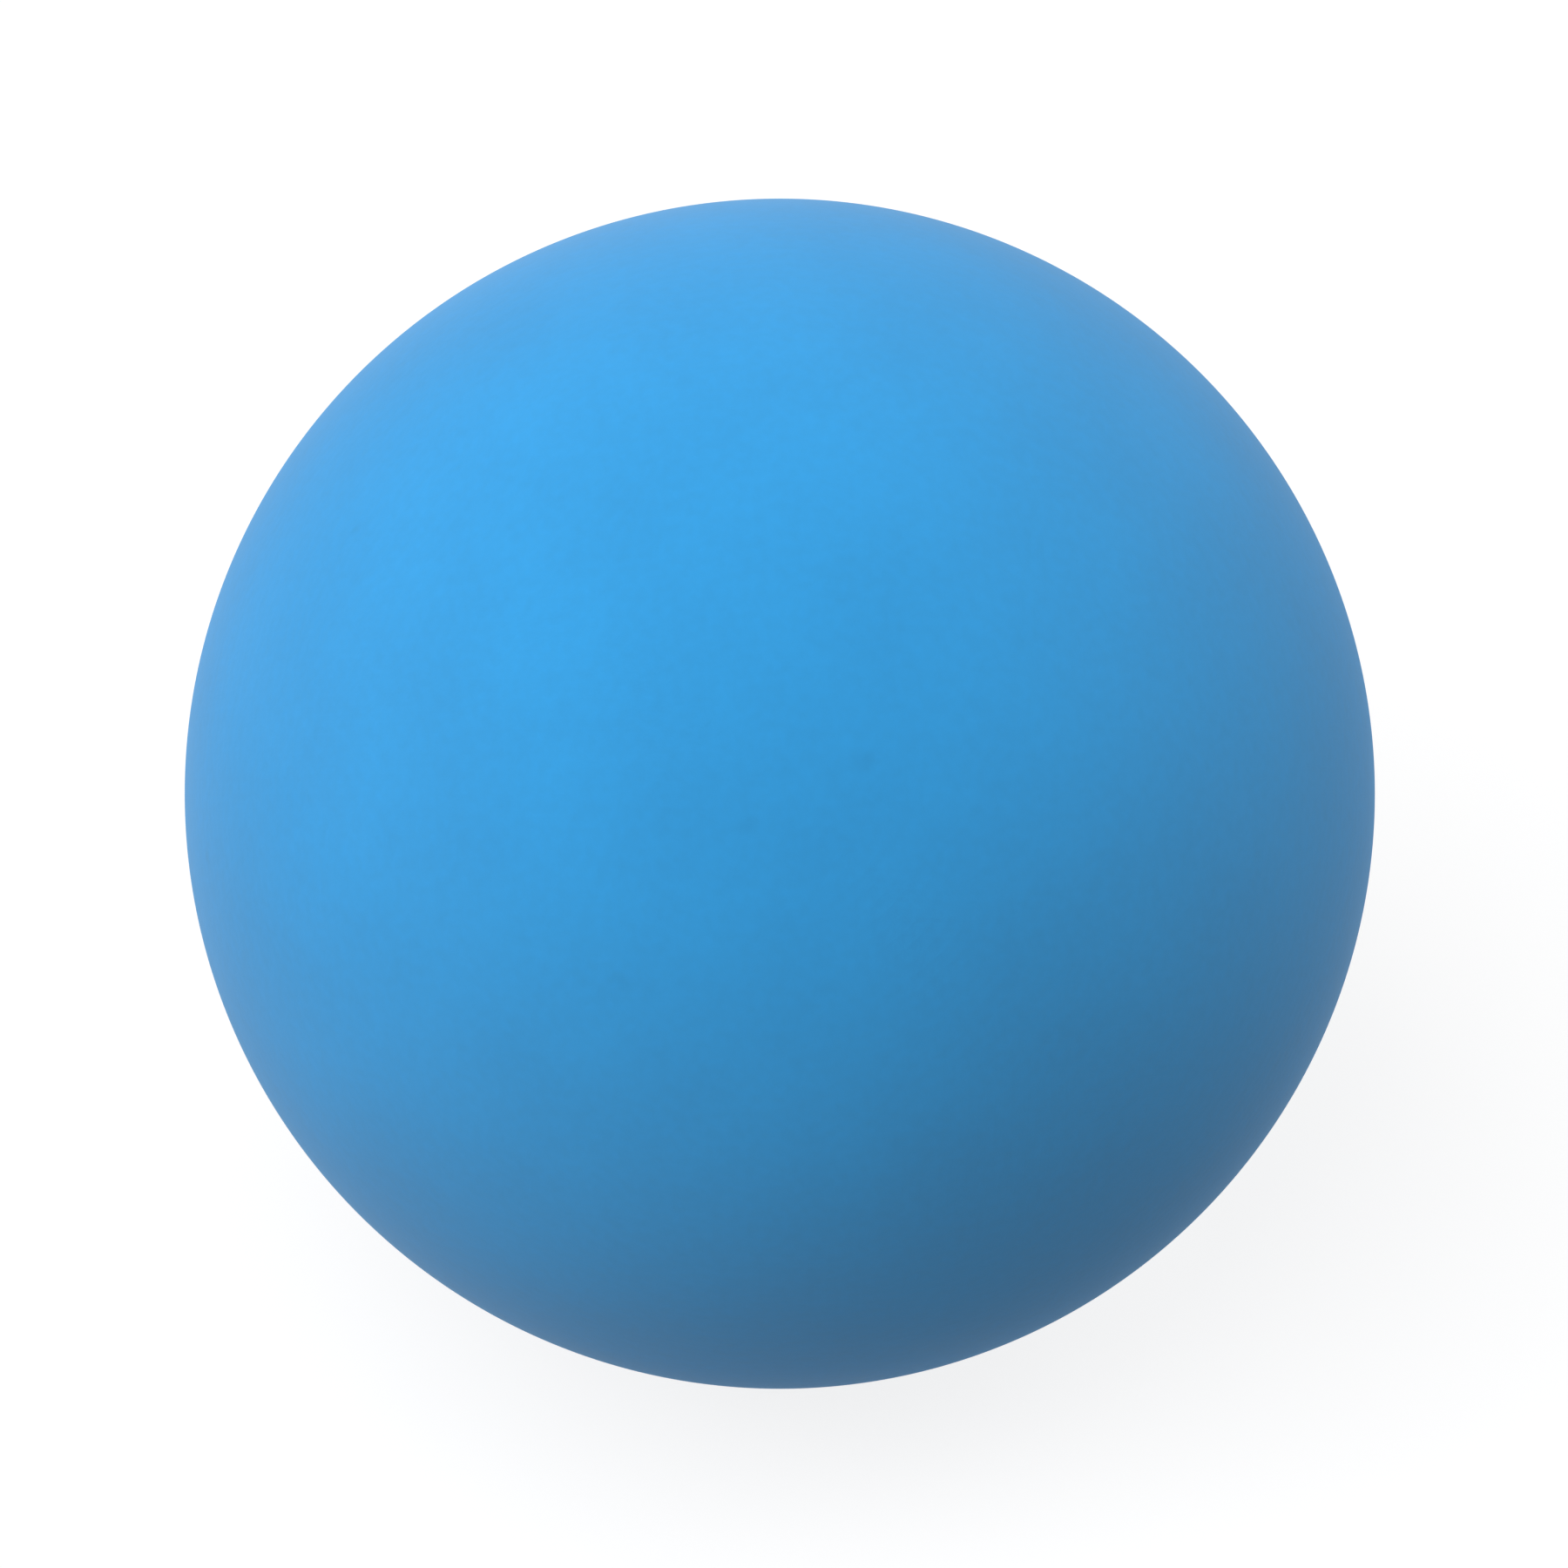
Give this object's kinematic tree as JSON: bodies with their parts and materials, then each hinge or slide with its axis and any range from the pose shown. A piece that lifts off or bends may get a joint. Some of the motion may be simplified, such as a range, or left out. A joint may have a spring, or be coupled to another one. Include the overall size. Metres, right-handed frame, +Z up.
{
  "type": "lacrosse ball",
  "caption": "Solid blue rubber lacrosse ball: a pressed core bonded inside moulded half covers that meet at a trimmed parting line.",
  "frame": {"origin": "centre of the ball", "axes": "+Z up, +X to the viewer's right and -Y towards the viewer; the moulding axis lies in the YZ plane, 50 degrees from +Z towards -Y, and the parting line is the great circle square to it"},
  "size_m": [0.0636, 0.0634, 0.0634],
  "materials": {
    "core_rubber": "matte",
    "cover_rubber": "satin"
  },
  "bodies": {
    "root": {"core": "core_rubber", "front_cover": "cover_rubber", "rear_cover": "cover_rubber"}
  },
  "joints": []
}
